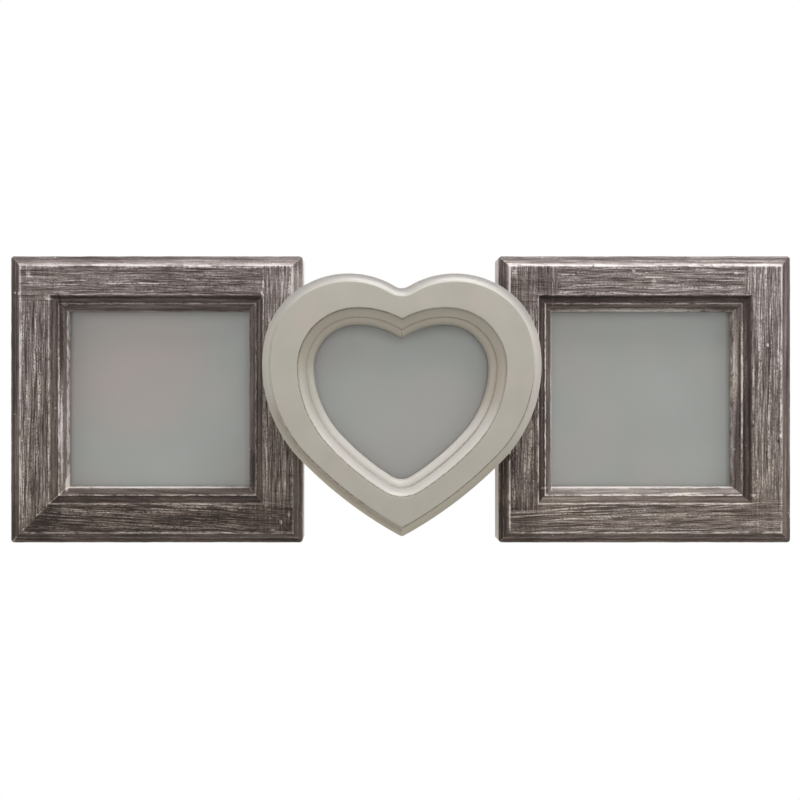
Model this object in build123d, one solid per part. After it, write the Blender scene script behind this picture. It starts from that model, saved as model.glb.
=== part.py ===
from build123d import *
import os
from math import acos, asin, atan2, cos, degrees, pi, radians, sin, sqrt

# A collage photo frame for a wall: two square frames of mitred moulding, side by side, and a
# heart-shaped frame in front that overlaps their inner stiles and is screwed to them from behind.
# Lengths are in millimetres and angles in degrees.
# X runs to the right, Z up and -Y to the front, where the pictures face.
# The origin is on the back plane, midway between the pins of the two hanger rings.

# Square frames
square_width = 157.3
square_height = 154.4
moulding_width = 29.5
moulding_thickness = 16.0
corner_radius = 1.8

# Moulding section, from its outer edge to its sight edge
outer_rim = 0.6
outer_cove_width = 4.8
outer_cove_drop = 2.5
inner_cove_width = 4.3
inner_cove_drop = 3.3
inner_step = 0.5
ovolo_radius = 4.0

# What lies in each rebate, from the front to the back
rebate_lip = 2.6
glass_thickness = 2.0
insert_thickness = 0.4
board_thickness = 3.0
pane_clearance = 0.3

# Heart frame
heart_thickness = 16.0
heart_overlap = 20.3
heart_rim = 0.4
heart_cove_width = 4.1
heart_cove_drop = 3.0
heart_inner_cove_width = 4.8
heart_inner_cove_drop = 3.5
heart_inner_step = 0.5
heart_ovolo_radius = 3.7

# Outline of the heart: the right half is a chain of tangent arcs from the notch to the tip.
# An angle is where one arc ends and the next begins, measured from +X towards +Z.
lobe_x = 29.2
lobe_height = 22.1
lobe_radius = 43.55
crown_radius = 46.65
crown_angle = 61.3
flank_radius = 71.5
flank_angle = 8.0
lower_radius = 217.0
lower_angle = -44.0
notch_radius = 7.2
tip_radius = 2.5

# Window of the heart: its lobes hang lower than the outline's, and its notch is sharp.
side_band = 26.9
window_drop = 5.3
window_lobe_radius = 22.6
window_crown_radius = 37.6
window_crown_angle = 86.0
window_flank_radius = 52.8
window_flank_angle = -1.5
window_lower_radius = 130.0
window_lower_angle = -42.5
window_tip_radius = 9.4

# V-shaped nails that hold each mitre from behind
nail_leg = 5.0
nail_thickness = 0.5
nail_depth = 7.0
outer_nail_inset = 9.0
inner_nail_inset = 18.0

# Turn buttons that hold the backing boards in
button_span = 11.0
button_end_radius = 4.0
button_thickness = 1.0
button_chamfer = 0.25
button_margin = 5.0
button_spread = 28.0
flank_button_angle = -35.5

# Pan-head screws, for the turn buttons and the hanger straps
shank_radius = 1.5
shank_length = 10.0
head_radius = 2.75
head_height = 1.6
head_round = 1.0
head_round_limit_share = 0.8
head_clearance = 0.05
pivot_clearance = 0.05

# Countersunk screws that hold the heart to the square frames
fixing_radius = 1.75
fixing_head_radius = 3.5
fixing_head_cone = 2.0
fixing_bite = 9.0
fixing_spread = 18.0

# Cross recess and point of every screw
recess_length = 3.2
recess_width = 0.7
recess_depth = 0.8
point_length = 3.0

# Hanger: a wire ring in a rolled strap
ring_wire_radius = 0.8
ring_half_width = 5.8
ring_leg = 2.0
ring_bend_radius = 1.4
strap_width = 8.0
strap_thickness = 0.8
strap_reach = 12.0
eye_clearance = 0.05
hanger_margin = 0.6

overrun = 1.0
overrun_angle = 1.0

rebate_depth = glass_thickness + insert_thickness + board_thickness
front_depth = moulding_thickness + heart_thickness
ring_reach = ring_leg + ring_half_width + ring_wire_radius
hanger_height = square_height / 2 - hanger_margin - ring_reach


def polar(centre, distance, angle):
    """The point at a distance and an angle from a centre, as x and z."""
    return (centre[0] + distance * cos(radians(angle)), centre[1] + distance * sin(radians(angle)))


def slab(face, back, front):
    """An outline in X and Z made solid between two distances in front of the back plane."""
    return extrude(Plane.XZ.offset(back) * face, amount=front - back)


def cove_middle(low, width, drop, side):
    """Middle of a cove that lies level at its low end and rises towards side, +1 or -1."""
    radius = (width**2 + drop**2) / (2 * drop)
    half_angle = asin(width / radius) / 2
    return (low[0] + side * radius * sin(half_angle), low[1] + radius * (1 - cos(half_angle)))


def quarter_middle(centre, radius):
    """Middle of a quarter round that runs from above its centre to the side of +x."""
    return (centre[0] + radius * cos(pi / 4), centre[1] + radius * sin(pi / 4))


def moulding_section():
    """Section of the square frames: x is the distance from the outer edge, y the height."""
    top = moulding_thickness
    rim = (outer_rim, top - outer_cove_drop)
    ridge = (outer_rim + outer_cove_width, top)
    cove_low = (moulding_width - ovolo_radius, top - inner_cove_drop)
    cove_high = (cove_low[0] - inner_cove_width, top)
    ovolo_top = (cove_low[0], cove_low[1] - inner_step)
    sight = (moulding_width, ovolo_top[1] - ovolo_radius)
    rebate_edge = moulding_width - rebate_lip
    return make_face([
        Polyline((rebate_edge, 0), (0, 0), (0, rim[1]), rim),
        ThreePointArc(rim, cove_middle(rim, outer_cove_width, outer_cove_drop, 1), ridge),
        Line(ridge, cove_high),
        ThreePointArc(cove_high, cove_middle(cove_low, inner_cove_width, inner_cove_drop, -1), cove_low),
        Line(cove_low, ovolo_top),
        ThreePointArc(ovolo_top, quarter_middle((ovolo_top[0], sight[1]), ovolo_radius), sight),
        Polyline(sight, (moulding_width, rebate_depth), (rebate_edge, rebate_depth), (rebate_edge, 0)),
    ])


def mitred_rail(length):
    """Moulding along X with its back on y = 0, its outer edge on z = 0 and both ends mitred."""
    section_plane = Plane(origin=(-length / 2, 0, 0), x_dir=(0, 0, 1), z_dir=(1, 0, 0))
    bar = extrude(section_plane * moulding_section(), amount=length)
    outer_half = length / 2 + overrun
    inner_half = length / 2 - moulding_width - overrun
    inner_edge = moulding_width + overrun
    corners = [
        (-outer_half, -overrun),
        (outer_half, -overrun),
        (inner_half, inner_edge),
        (-inner_half, inner_edge),
    ]
    mitres = make_face(Polyline(*corners, close=True))
    return bar & slab(mitres, -overrun, moulding_thickness + overrun)


def rails():
    """The four mitred rails of a square frame around its own centre."""
    corners = slab(RectangleRounded(square_width, square_height, corner_radius), 0, moulding_thickness)
    bottom = Pos(0, 0, -square_height / 2) * mitred_rail(square_width) & corners
    left = Rot(0, 90, 0) * Pos(0, 0, -square_width / 2) * mitred_rail(square_height) & corners
    return {"bottom": bottom, "top": Rot(0, 180, 0) * bottom, "left": left, "right": Rot(0, 180, 0) * left}


def corner_nails():
    """V-nails of one square frame, driven in from behind across the four mitres."""
    nails = []
    half_thickness = nail_thickness / 2
    for side in (-1, 1):
        for rise in (-1, 1):
            for inset in (outer_nail_inset, inner_nail_inset):
                x = side * (square_width / 2 - inset)
                z = rise * (square_height / 2 - inset)
                leg = nail_leg + half_thickness
                along = Rectangle(leg, nail_thickness)
                across = Rectangle(nail_thickness, leg)
                shift = leg / 2 - half_thickness
                vee = Pos(x + side * shift, z) * along + Pos(x, z + rise * shift) * across
                nails.append(slab(vee, 0, nail_depth))
    return nails


def cross_recess(head_top):
    """Cross-shaped recess cut down from the top of a screw's head."""
    bar = Rectangle(recess_length, recess_width) + Rectangle(recess_width, recess_length)
    return slab(bar, -head_top - overrun, recess_depth - head_top)


def pointed_shank(radius, start, end):
    """A screw's shank that runs forwards from start and ends in a point."""
    shoulder = end - point_length
    shank = slab(Circle(radius), start, shoulder)
    point = Pos(0, -shoulder - point_length / 2, 0) * Rot(90, 0, 0) * Cone(radius, 0, point_length)
    return shank + point


def pan_screw(washer):
    """Pan-head screw along Y that holds a washer's thickness against the plane y = 0."""
    under_head = washer + head_clearance
    head = slab(Circle(head_radius), -under_head - head_height, -under_head)
    rim = head.edges().filter_by(GeomType.CIRCLE).sort_by(Axis.Y)[-1]
    head = fillet(rim, min(head_round, head_height * head_round_limit_share))
    shank = pointed_shank(shank_radius, -under_head, shank_length)
    return head + shank - cross_recess(under_head + head_height)


def fixing_blank():
    """Countersunk screw along Y without its recess, from the back plane through a stile."""
    cone = Pos(0, -fixing_head_cone / 2, 0) * Rot(90, 0, 0) * Cone(
        fixing_head_radius, fixing_radius, fixing_head_cone
    )
    return cone + pointed_shank(fixing_radius, fixing_head_cone, moulding_thickness + fixing_bite)


def turn_button():
    """Turn button that pivots on the origin and points along +X, with its back on y = 0."""
    plate = Pos(button_span / 2, 0) * SlotCenterToCenter(button_span, 2 * button_end_radius)
    plate -= Circle(shank_radius + pivot_clearance)
    button = slab(plate, -button_thickness, 0)
    outer_edges = button.faces().sort_by(Axis.Y)[-1].outer_wire().edges()
    return chamfer(outer_edges, button_chamfer)


def hanger_strap():
    """Strap with its eye on the X axis, rolled from the plate that lies on the back plane."""
    eye_radius = ring_wire_radius + eye_clearance
    roll_radius = eye_radius + strap_thickness
    end_radius = strap_width / 2
    plate = Pos(0, -strap_reach / 2) * Rectangle(strap_width, strap_reach)
    plate += Pos(0, -strap_reach) * Circle(end_radius)
    plate -= Pos(0, -strap_reach) * Circle(shank_radius)
    strap = slab(plate, roll_radius - strap_thickness, roll_radius)
    roll = Rot(0, 90, 0) * Cylinder(roll_radius, strap_width)
    return strap + roll - Rot(0, 90, 0) * Cylinder(eye_radius, strap_width + overrun)


def hanger_ring():
    """D-shaped wire ring that hangs from the X axis."""
    wire = Circle(ring_wire_radius)
    bend_x = ring_half_width - ring_bend_radius
    bar = Rot(0, 90, 0) * Cylinder(ring_wire_radius, 2 * bend_x)
    leg_length = ring_leg - ring_bend_radius
    leg = Pos(ring_half_width, 0, -ring_leg + leg_length / 2) * Cylinder(ring_wire_radius, leg_length)
    bend_start = Plane(origin=(ring_half_width, 0, -ring_bend_radius), z_dir=(0, 0, 1)) * wire
    bend_axis = Axis((bend_x, 0, -ring_bend_radius), (0, -1, 0))
    side = leg + revolve(bend_start, bend_axis, 90)
    bow_start = Plane(origin=(ring_half_width, 0, -ring_leg), z_dir=(0, 0, 1)) * wire
    bow = revolve(bow_start, Axis((0, 0, -ring_leg), (0, 1, 0)), 180)
    return bar + side + mirror(side, about=Plane.YZ) + bow


class Arc:
    """An arc of an outline that runs clockwise from its start angle to its end angle."""

    def __init__(self, centre, radius, start, end, outwards=1):
        self.centre = centre
        self.radius = radius
        self.start = start
        self.end = end
        self.outwards = outwards

    def grown(self, distance):
        """Radius of the same arc when the outline is offset outwards."""
        return self.radius + self.outwards * distance

    def edge(self, distance, side):
        """The arc as an edge, offset outwards, on the right (+1) or the left (-1)."""
        angles = (self.start, (self.start + self.end) / 2, self.end)
        points = [polar(self.centre, self.grown(distance), angle) for angle in angles]
        return ThreePointArc(*[(side * x, z) for x, z in points])

    def widest(self):
        """Greatest x on the arc."""
        angle = min(max(0, self.end), self.start)
        return polar(self.centre, self.radius, angle)[0]


def heart_chain(lobe, crown, flank, lower):
    """Lobe, crown, flank and lower arc of a right half, and where their centres are."""
    centre, radius = lobe
    crown_centre = polar(centre, radius - crown[0], crown[1])
    flank_centre = polar(centre, radius - flank[0], flank[1])
    lower_centre = polar(flank_centre, flank[0] - lower[0], lower[1])
    return crown_centre, centre, flank_centre, lower_centre


def outline_arcs():
    """Arcs of the heart's right half, from the notch down to the tip."""
    lobe = ((lobe_x, lobe_height), lobe_radius)
    crown, centre, flank, lower = heart_chain(
        lobe, (crown_radius, crown_angle), (flank_radius, flank_angle), (lower_radius, lower_angle)
    )
    notch = (0, crown[1] + sqrt((crown_radius + notch_radius) ** 2 - crown[0] ** 2))
    notch_angle = degrees(atan2(crown[1] - notch[1], crown[0]))
    tip = (0, lower[1] - sqrt((lower_radius - tip_radius) ** 2 - lower[0] ** 2))
    tip_angle = degrees(atan2(tip[1] - lower[1], -lower[0]))
    return [
        Arc(notch, notch_radius, notch_angle, -90, -1),
        Arc(crown, crown_radius, notch_angle + 180, crown_angle),
        Arc(centre, lobe_radius, crown_angle, flank_angle),
        Arc(flank, flank_radius, flank_angle, lower_angle),
        Arc(lower, lower_radius, lower_angle, tip_angle),
        Arc(tip, tip_radius, tip_angle, -90),
    ]


def window_arcs(grow=0):
    """Arcs of the window's right half, with its crown cut off where it meets x = 0 when grown."""
    centre_x = heart_half_width - side_band - window_lobe_radius
    lobe = ((centre_x, lobe_height - window_drop), window_lobe_radius)
    crown, centre, flank, lower = heart_chain(
        lobe,
        (window_crown_radius, window_crown_angle),
        (window_flank_radius, window_flank_angle),
        (window_lower_radius, window_lower_angle),
    )
    notch_angle = degrees(acos(-crown[0] / (window_crown_radius + grow)))
    tip = (0, lower[1] - sqrt((window_lower_radius - window_tip_radius) ** 2 - lower[0] ** 2))
    tip_angle = degrees(atan2(tip[1] - lower[1], -lower[0]))
    return [
        Arc(crown, window_crown_radius, notch_angle, window_crown_angle),
        Arc(centre, window_lobe_radius, window_crown_angle, window_flank_angle),
        Arc(flank, window_flank_radius, window_flank_angle, window_lower_angle),
        Arc(lower, window_lower_radius, window_lower_angle, tip_angle),
        Arc(tip, window_tip_radius, tip_angle, -90),
    ]


def outline_face(arcs, grow=0):
    """Face inside an outline whose right half is given, offset outwards."""
    return make_face([arc.edge(grow, side) for arc in arcs for side in (1, -1)])


def window_face(grow):
    """Face of the heart's window, offset outwards."""
    return outline_face(window_arcs(grow), grow)


def swept_cutter(arc, section):
    """A cutter's section, given outwards from the outline, turned along one arc."""
    radial = (cos(radians(arc.start)), 0, sin(radians(arc.start)))
    clockwise = (radial[2], 0, -radial[0])
    centre = (arc.centre[0], 0, arc.centre[1])
    plane = Plane(origin=centre, x_dir=radial, z_dir=clockwise)
    return revolve(plane * section(arc), Axis(centre, (0, 1, 0)), arc.start - arc.end)


def outer_cove_section(arc):
    """What is cut from the heart's outer edge to leave its cove."""
    front = front_depth
    rim = (-heart_rim, front - heart_cove_drop)
    ridge = (rim[0] - heart_cove_width, front)
    middle = cove_middle(rim, heart_cove_width, heart_cove_drop, -1)
    outside = (overrun, front + overrun)

    def at(point):
        return (arc.grown(point[0]), point[1])

    return make_face([
        ThreePointArc(at(rim), at(middle), at(ridge)),
        Polyline(at(ridge), at((ridge[0], outside[1])), at(outside)),
        Polyline(at(outside), at((outside[0], rim[1])), at(rim)),
    ])


def inner_moulding_section(arc):
    """What is cut around the heart's window to leave its cove and its quarter round."""
    front = front_depth
    cove_low = (heart_ovolo_radius, front - heart_inner_cove_drop)
    cove_high = (cove_low[0] + heart_inner_cove_width, front)
    cove_centre = cove_middle(cove_low, heart_inner_cove_width, heart_inner_cove_drop, 1)
    ovolo_top = (cove_low[0], cove_low[1] - heart_inner_step)
    sight = (0, ovolo_top[1] - heart_ovolo_radius)
    ovolo_middle = (
        heart_ovolo_radius * (1 - cos(pi / 4)),
        sight[1] + heart_ovolo_radius * sin(pi / 4),
    )
    inside = (-overrun, front + overrun)

    def at(point):
        return (arc.grown(point[0]), point[1])

    return make_face([
        ThreePointArc(at(sight), at(ovolo_middle), at(ovolo_top)),
        Line(at(ovolo_top), at(cove_low)),
        ThreePointArc(at(cove_low), at(cove_centre), at(cove_high)),
        Polyline(at(cove_high), at((cove_high[0], inside[1])), at(inside)),
        Polyline(at(inside), at((inside[0], sight[1])), at(sight)),
    ])


def past_centre_line(arcs, grow_top, grow_tip):
    """The same arcs with the first and last run on past x = 0, so that their cuts meet in a mitre."""
    top, tip = arcs[0], arcs[-1]
    if top.outwards > 0 and top.centre[0] > 0:
        top.start = degrees(acos(-top.centre[0] / top.grown(grow_top))) + overrun_angle
    if tip.centre[0] < 0:
        tip.end = -degrees(acos(-tip.centre[0] / tip.grown(grow_tip))) - overrun_angle
    return arcs


def heart_body():
    """The routed heart frame without its screw holes."""
    blank = slab(outline_face(outline_arcs()), moulding_thickness, front_depth)
    blank -= slab(window_face(0), moulding_thickness - overrun, front_depth + overrun)
    blank -= slab(window_face(rebate_lip), moulding_thickness - overrun, moulding_thickness + rebate_depth)
    reach = 2 * (heart_half_width + overrun)
    right_half = Pos(reach / 2, -moulding_thickness, 0) * Box(reach, 2 * front_depth, 2 * reach)
    half = blank & right_half
    for arc in past_centre_line(outline_arcs()[:-1], 0, overrun):
        half -= swept_cutter(arc, outer_cove_section)
    for arc in past_centre_line(window_arcs(), -overrun, 0):
        half -= swept_cutter(arc, inner_moulding_section)
    return half + mirror(half, about=Plane.YZ)


def facing(x, z, back, angle):
    """Place of a piece that points at an angle in X and Z and lies against a plane behind."""
    return Pos(x, -back, z) * Rot(0, -angle, 0)


def square_button_places(stile):
    """Where the turn buttons of one stile sit on a square frame; stile is -1 or +1."""
    x = square_width / 2 - moulding_width + rebate_lip + button_margin
    angle = 180 if stile > 0 else 0
    return [facing(stile * x, rise * button_spread, 0, angle) for rise in (-1, 1)]


def heart_button_places():
    """Where the heart's turn buttons sit: behind its notch and on both lower flanks."""
    crown, _, flank, _, _ = window_arcs()
    out = rebate_lip + button_margin
    notch_height = crown.centre[1] + sqrt((crown.radius + rebate_lip) ** 2 - crown.centre[0] ** 2)
    x, z = polar(flank.centre, flank.radius + out, flank_button_angle)
    return {
        "top": facing(0, notch_height + button_margin, moulding_thickness, -90),
        "left": facing(-x, z, moulding_thickness, -flank_button_angle),
        "right": facing(x, z, moulding_thickness, 180 + flank_button_angle),
    }


def layer(width, height, back, front):
    """A rectangular sheet between two distances in front of the back plane."""
    return slab(Rectangle(width, height), back, front)


heart_half_width = max(arc.widest() for arc in outline_arcs())
half_gap = heart_half_width - heart_overlap
square_x = half_gap + square_width / 2
fixing_x = half_gap + heart_overlap / 2

os.makedirs("parts", exist_ok=True)


def write(name, shapes):
    """Moves one piece, or one group of equal pieces, to the hanger line and writes it."""
    solids = [solid for shape in shapes for solid in shape.solids()]
    moved = [Pos(0, 0, -hanger_height) * solid for solid in solids]
    export_step(moved[0] if len(moved) == 1 else Compound(children=moved), f"parts/{name}.step")


def write_square(side_name, side):
    """Writes every piece of one square frame; side is -1 on the left and +1 on the right."""
    centre = Pos(side * square_x, 0, 0)
    frame = rails()
    frame["outer"] = frame.pop("right" if side > 0 else "left")
    frame["inner"] = frame.pop("left" if side > 0 else "right")
    button_screws = []
    for stile_name, stile in (("outer", side), ("inner", -side)):
        for place, rank in zip(square_button_places(stile), ("lower", "upper")):
            write(f"{side_name}_{stile_name}_{rank}_turn_button", [centre * place * turn_button()])
            button_screws.append(place * pan_screw(button_thickness))
    roll_radius = ring_wire_radius + eye_clearance + strap_thickness
    hanger = Pos(0, roll_radius, hanger_height)
    hanger_screw = Pos(0, 0, hanger_height - strap_reach) * pan_screw(strap_thickness)
    fixing_places = [
        Pos(side * (fixing_x - square_x), 0, lobe_height + rise * fixing_spread) for rise in (-1, 1)
    ]
    fixings = [place * fixing_blank() for place in fixing_places]
    nails = corner_nails()
    for metal in button_screws + nails + [hanger_screw] + fixings:
        for name in frame:
            frame[name] -= metal
    for name, rail in frame.items():
        kind = "stile" if name in ("outer", "inner") else "rail"
        write(f"{side_name}_{name}_{kind}", [centre * rail])
    write(f"{side_name}_corner_nails", [centre * nail for nail in nails])
    write(f"{side_name}_turn_button_screws", [centre * screw for screw in button_screws])
    write(f"{side_name}_hanger_strap", [centre * hanger * hanger_strap()])
    write(f"{side_name}_hanger_ring", [centre * hanger * hanger_ring()])
    write(f"{side_name}_hanger_screw", [centre * hanger_screw])
    opening = 2 * (rebate_lip - pane_clearance - moulding_width)
    pane = (square_width + opening, square_height + opening)
    board_front = board_thickness
    insert_front = board_front + insert_thickness
    write(f"{side_name}_glass_pane", [centre * layer(*pane, insert_front, rebate_depth)])
    write(f"{side_name}_photo_insert", [centre * layer(*pane, board_front, insert_front)])
    write(f"{side_name}_backing_board", [centre * layer(*pane, 0, board_front)])
    return [centre * place for place in fixing_places]


def write_heart(fixing_places):
    """Writes every piece of the heart frame and the screws that fix it to the squares."""
    heart = heart_body()
    screws = []
    for name, place in heart_button_places().items():
        write(f"heart_{name}_turn_button", [place * turn_button()])
        screws.append(place * pan_screw(button_thickness))
    fixings = [place * fixing_blank() for place in fixing_places]
    for metal in screws + fixings:
        heart -= metal
    write("heart_frame", [heart])
    write("heart_turn_button_screws", screws)
    write("heart_fixing_screws", [place * (fixing_blank() - cross_recess(0)) for place in fixing_places])
    back = moulding_thickness
    board_front = back + board_thickness
    insert_front = board_front + insert_thickness
    pane = window_face(rebate_lip - pane_clearance)
    write("heart_glass_pane", [slab(pane, insert_front, back + rebate_depth)])
    write("heart_photo_insert", [slab(pane, board_front, insert_front)])
    write("heart_backing_board", [slab(pane, back, board_front)])


write_heart(write_square("left", -1) + write_square("right", 1))
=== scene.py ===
# %% [markdown]
# # Dressing a collage photo frame
# Two square frames of weathered grey-brown moulding hang side by side, and a cream heart is screwed
# on in front of them. A CAD model already holds every piece at its real size, so Blender adds only
# looks: brushed paint with its ridges and rubbed edges, glass, paper, hardboard and plated steel.
# Everything is in the CAD model's own frame: X to the right, Z up, the wall behind at Y = 0.

# %% Load the fixed frame
import math
from functools import partialmethod

import bpy
import numpy as np
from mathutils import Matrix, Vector


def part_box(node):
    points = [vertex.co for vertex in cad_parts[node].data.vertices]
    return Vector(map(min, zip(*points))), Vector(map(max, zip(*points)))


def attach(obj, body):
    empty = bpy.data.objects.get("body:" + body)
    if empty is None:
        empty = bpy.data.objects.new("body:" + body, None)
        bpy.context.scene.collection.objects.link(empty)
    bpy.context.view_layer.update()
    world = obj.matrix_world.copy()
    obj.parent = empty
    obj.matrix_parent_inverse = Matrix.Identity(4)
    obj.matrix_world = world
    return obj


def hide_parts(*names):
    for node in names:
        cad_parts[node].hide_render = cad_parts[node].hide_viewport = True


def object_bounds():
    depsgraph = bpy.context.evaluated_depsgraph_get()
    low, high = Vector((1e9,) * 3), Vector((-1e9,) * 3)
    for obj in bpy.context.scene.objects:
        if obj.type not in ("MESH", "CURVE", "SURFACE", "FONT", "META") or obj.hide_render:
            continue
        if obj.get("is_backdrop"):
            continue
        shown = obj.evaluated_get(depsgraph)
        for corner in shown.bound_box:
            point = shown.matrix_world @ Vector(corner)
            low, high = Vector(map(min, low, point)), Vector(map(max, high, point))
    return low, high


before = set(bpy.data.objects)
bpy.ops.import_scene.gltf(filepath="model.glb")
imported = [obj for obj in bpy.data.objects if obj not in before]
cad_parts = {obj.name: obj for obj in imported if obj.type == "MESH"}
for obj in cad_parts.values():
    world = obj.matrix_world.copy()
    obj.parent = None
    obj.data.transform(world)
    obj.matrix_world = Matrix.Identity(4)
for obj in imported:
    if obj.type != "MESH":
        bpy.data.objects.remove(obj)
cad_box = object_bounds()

MM = 0.001


def in_scene(name, data):
    """A new object of some data, in the scene."""
    made = bpy.data.objects.new(name, data)
    bpy.context.scene.collection.objects.link(made)
    return made


# %% [markdown]
# ## Node trees as arithmetic
# A paint is a sum of small ideas: a stroke, a rubbed edge, a patch of stain. Blender builds such
# sums from nodes, and wiring them by hand hides the sum. Here one class wraps a socket, so that
# `a * 2 + b` adds the Math nodes by itself. The same class serves shader trees and geometry trees,
# which lets one brush stroke shape the mesh and colour it too.


# %% A socket that can be added and multiplied
class Wire:
    """A socket of a node tree. Arithmetic on wires adds Math nodes."""

    def __init__(self, tree, socket=None):
        self.tree = tree
        self.socket = socket

    def node(self, kind, settings=None, inputs=(), output=0):
        """Adds a node and gives one output. Inputs go by name, or in the order that is shown."""
        new = self.tree.nodes.new(kind)
        for name, value in (settings or {}).items():
            if name == "stops":
                set_stops(new.color_ramp, value)
            else:
                setattr(new, name, value)
        shown = [socket for socket in new.inputs if socket.enabled]
        pairs = inputs.items() if isinstance(inputs, dict) else enumerate(inputs)
        for key, value in pairs:
            socket = shown[key] if isinstance(key, int) else new.inputs[key]
            if isinstance(value, Wire):
                self.tree.links.new(value.socket, socket)
            else:
                socket.default_value = value
        if isinstance(output, str):
            return Wire(self.tree, new.outputs[output])
        return Wire(self.tree, [socket for socket in new.outputs if socket.enabled][output])

    def other(self, name):
        """Another output of the same node."""
        return Wire(self.tree, self.socket.node.outputs[name])

    def math(self, operation, *others):
        return self.node("ShaderNodeMath", {"operation": operation}, [self, *others])

    def __rsub__(self, other):
        return self.node("ShaderNodeMath", {"operation": "SUBTRACT"}, [other, self])

    # The rest are one Math node each, on this wire and then the other.
    __add__ = __radd__ = partialmethod(math, "ADD")
    __sub__ = partialmethod(math, "SUBTRACT")
    __mul__ = __rmul__ = partialmethod(math, "MULTIPLY")
    __truediv__ = partialmethod(math, "DIVIDE")
    __abs__ = partialmethod(math, "ABSOLUTE")
    __gt__ = partialmethod(math, "GREATER_THAN")
    __lt__ = partialmethod(math, "LESS_THAN")
    least = partialmethod(math, "MINIMUM")
    most = partialmethod(math, "MAXIMUM")

    def fade(self, start, end):
        """0 up to start and 1 from end on, eased between them."""
        spans = {"Value": self, "From Min": start, "From Max": end}
        return self.node("ShaderNodeMapRange", {"interpolation_type": "SMOOTHSTEP"}, spans)

    def line(self, place, half_width):
        """1 at a place, falling to 0 at half_width each side."""
        return abs(self - place).fade(half_width, 0.0)


def set_stops(ramp, stops):
    """Gives a colour ramp its stops, as (place, colour) pairs."""
    while len(ramp.elements) > 1:
        ramp.elements.remove(ramp.elements[-1])
    ramp.elements[0].position, ramp.elements[0].color = stops[0]
    for place, tone in stops[1:]:
        ramp.elements.new(place).color = tone


def mixed(share, first, second):
    """One number that goes from first to second with a share."""
    return first + (second - first) * share


def mixed_colour(share, first, second):
    """One colour that goes from first to second with a share, which is a wire."""
    return share.node("ShaderNodeMix", {"data_type": "RGBA"}, [share, first, second])


def colour(red, green, blue):
    """A colour as a paint card gives it, 0 to 255, in the light values that Blender works in."""
    def light(value):
        value = value / 255
        return value / 12.92 if value <= 0.04045 else ((value + 0.055) / 1.055) ** 2.4

    return (light(red), light(green), light(blue), 1.0)


print("a mid grey of 128 reflects", round(colour(128, 128, 128)[0], 3), "of the light")

# %% [markdown]
# ## Sizes from the frame
# The square frames' outer size, their middle and the width of the moulding are read from the CAD
# boxes. Only the shape of the moulding's section is written here, in millimetres, as a joiner would
# dimension it: rim, cove, flat, cove, step and a quarter round down to the glass.


# %% Read the squares' sizes
def box_mm(*nodes):
    """Lowest and highest corner of some CAD nodes together, in millimetres."""
    corners = [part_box(node) for node in nodes]
    low = [min(pair[0][axis] for pair in corners) / MM for axis in range(3)]
    high = [max(pair[1][axis] for pair in corners) / MM for axis in range(3)]
    return low, high


RAILS = ("top_rail", "bottom_rail", "outer_stile", "inner_stile")
SQUARES = {}
for side in ("left", "right"):
    low, high = box_mm(*[f"{side}_{rail}" for rail in RAILS])
    SQUARES[side] = {
        "middle_x": (low[0] + high[0]) / 2,
        "middle_z": (low[2] + high[2]) / 2,
        "half_width": (high[0] - low[0]) / 2,
        "half_height": (high[2] - low[2]) / 2,
    }
    print(side, {name: round(value, 2) for name, value in SQUARES[side].items()})

low, high = box_mm("left_top_rail")
MOULDING_WIDTH = high[2] - low[2]
MOULDING_THICKNESS = high[1] - low[1]
print("moulding", round(MOULDING_WIDTH, 2), "wide", round(MOULDING_THICKNESS, 2), "thick")

# %% [markdown]
# ## The moulding's section
# On the real frame one length of moulding is planed, cut in four and mitred. Its section is the
# one shape that all eight rails share, so it is drawn once, as a closed curve. Arcs come from their
# widths and drops, and each true corner is eased a little, because paint never leaves a knife edge.

# %% Section sizes
# A cove is given by its width and by its drop below the flat face. The back is set in by a hair,
# so that it meets no face of the hardware. Corners that turn more than TRUE_CORNER are eased.
# Points lie close where brush marks are pressed in, and far apart elsewhere.
RIM = 0.6
COVE = (4.8, 2.5)
INNER_COVE = (4.3, 3.3)
STEP = 0.5
OVOLO_RADIUS = 4.0
REBATE_LIP = 2.6
REBATE_DEPTH = 5.4
CORNER_RADIUS = 1.8
BACK_INSET = 0.05
EASE = 0.35
TRUE_CORNER = math.radians(25)
MARKED_SPACING = 0.45
PLAIN_SPACING = 3.0

RIDGE = RIM + COVE[0]
STEP_AT = MOULDING_WIDTH - OVOLO_RADIUS
INNER_RIDGE = STEP_AT - INNER_COVE[0]
RIM_LEVEL = MOULDING_THICKNESS - COVE[1]
print("flat face from", round(RIDGE, 2), "to", round(INNER_RIDGE, 2), "mm across the moulding")


# %% Draw a section from arcs and straight runs
def cove(low_end, width, drop, rise, steps=12):
    """A cove from its level low end to its high end, on the side that rise gives, +1 or -1."""
    radius = (width**2 + drop**2) / (2 * drop)
    turns = np.linspace(0, math.asin(width / radius), steps)
    along = low_end[0] + rise * radius * np.sin(turns)
    height = low_end[1] + radius * (1 - np.cos(turns))
    return list(zip(along, height))


def quarter(centre, radius, steps=12):
    """A quarter round from above its centre down to the side of +x."""
    turns = np.linspace(math.pi / 2, 0, steps)
    return list(zip(centre[0] + radius * np.cos(turns), centre[1] + radius * np.sin(turns)))


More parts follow.
